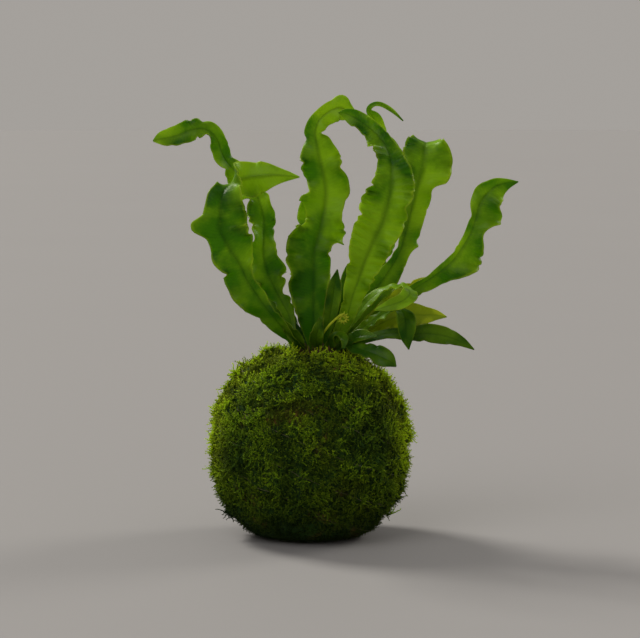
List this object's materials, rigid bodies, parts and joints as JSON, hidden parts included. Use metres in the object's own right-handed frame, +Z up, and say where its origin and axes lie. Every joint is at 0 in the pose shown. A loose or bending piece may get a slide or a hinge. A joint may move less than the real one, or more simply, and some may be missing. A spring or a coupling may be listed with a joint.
{
  "type": "kokedama moss ball plant",
  "caption": "Wavy bird's-nest fern growing from a moss-wrapped ball of soil that stands on a small flat spot, for a table or shelf.",
  "frame": {"origin": "centre of the flat spot that the moss ball rests on", "axes": "+Z up through the plant, +X to the right seen from the front, -Y towards the front"},
  "size_m": [0.2018, 0.1131, 0.2428],
  "materials": {
    "moss": "matt living sheet moss, yellow-green tips over a dark olive mat",
    "soil": "pressed damp peat and clay",
    "roots": "fine matted roots in old potting soil",
    "crown": "brown papery scales",
    "thread": "thin twisted binding thread",
    "leaf": "thin translucent leaf, half gloss, cross creases and a sunken midrib",
    "pale_leaf": "young yellow-green leaf, thin and translucent",
    "dark_leaf": "older dark green leaf, half gloss"
  },
  "bodies": {
    "root": {"moss_cover": "moss", "soil_core": "soil", "root_ball": "roots", "crown": "crown", "binding_thread": "thread", "fiddlehead": "pale_leaf", "left_front_frond": "leaf", "left_tall_frond": "leaf", "centre_left_frond": "leaf", "centre_right_frond": "leaf", "right_tall_frond": "leaf", "far_right_frond": "leaf", "back_tall_frond": "leaf", "back_left_frond": "leaf", "back_right_frond": "leaf", "back_low_left_frond": "leaf", "back_low_right_frond": "leaf", "pale_young_frond": "pale_leaf", "low_pale_frond": "pale_leaf", "low_dark_frond": "dark_leaf", "hanging_frond": "leaf", "hooked_frond": "leaf", "drooping_frond": "dark_leaf", "new_frond": "dark_leaf"}
  },
  "joints": []
}
